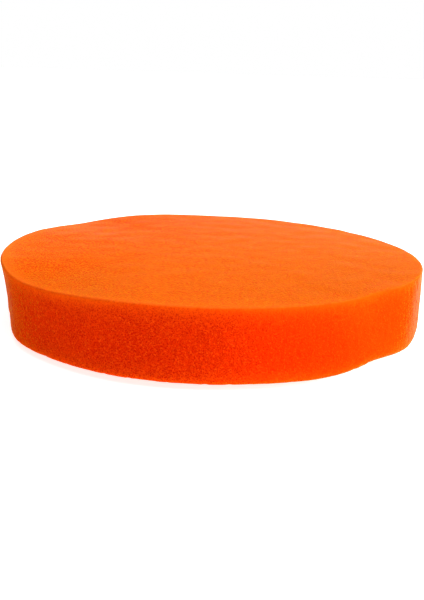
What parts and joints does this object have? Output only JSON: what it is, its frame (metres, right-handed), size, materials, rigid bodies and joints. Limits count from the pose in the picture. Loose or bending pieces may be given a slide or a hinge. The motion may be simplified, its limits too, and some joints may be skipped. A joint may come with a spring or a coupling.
{
  "type": "polishing pad",
  "caption": "Flat round foam polishing pad with a straight side wall, a flat working face and a loop-fabric disc bonded to its back for a hook-faced backing plate.",
  "frame": {"origin": "centre of the loop backing's lower face, on the pad's axis, where the pad rests on a table", "axes": "+Z along the pad's axis, from the loop backing to the working face; X and Y lie in the plane of the backing and are interchangeable"},
  "size_m": [0.165, 0.165, 0.027],
  "materials": {
    "foam": "matte",
    "adhesive": "satin",
    "loop_cloth": "matte",
    "loop_pile": "matte"
  },
  "bodies": {
    "root": {"foam_disc": "foam", "adhesive_film": "adhesive", "loop_ground_cloth": "loop_cloth", "loop_pile": "loop_pile"}
  },
  "joints": []
}
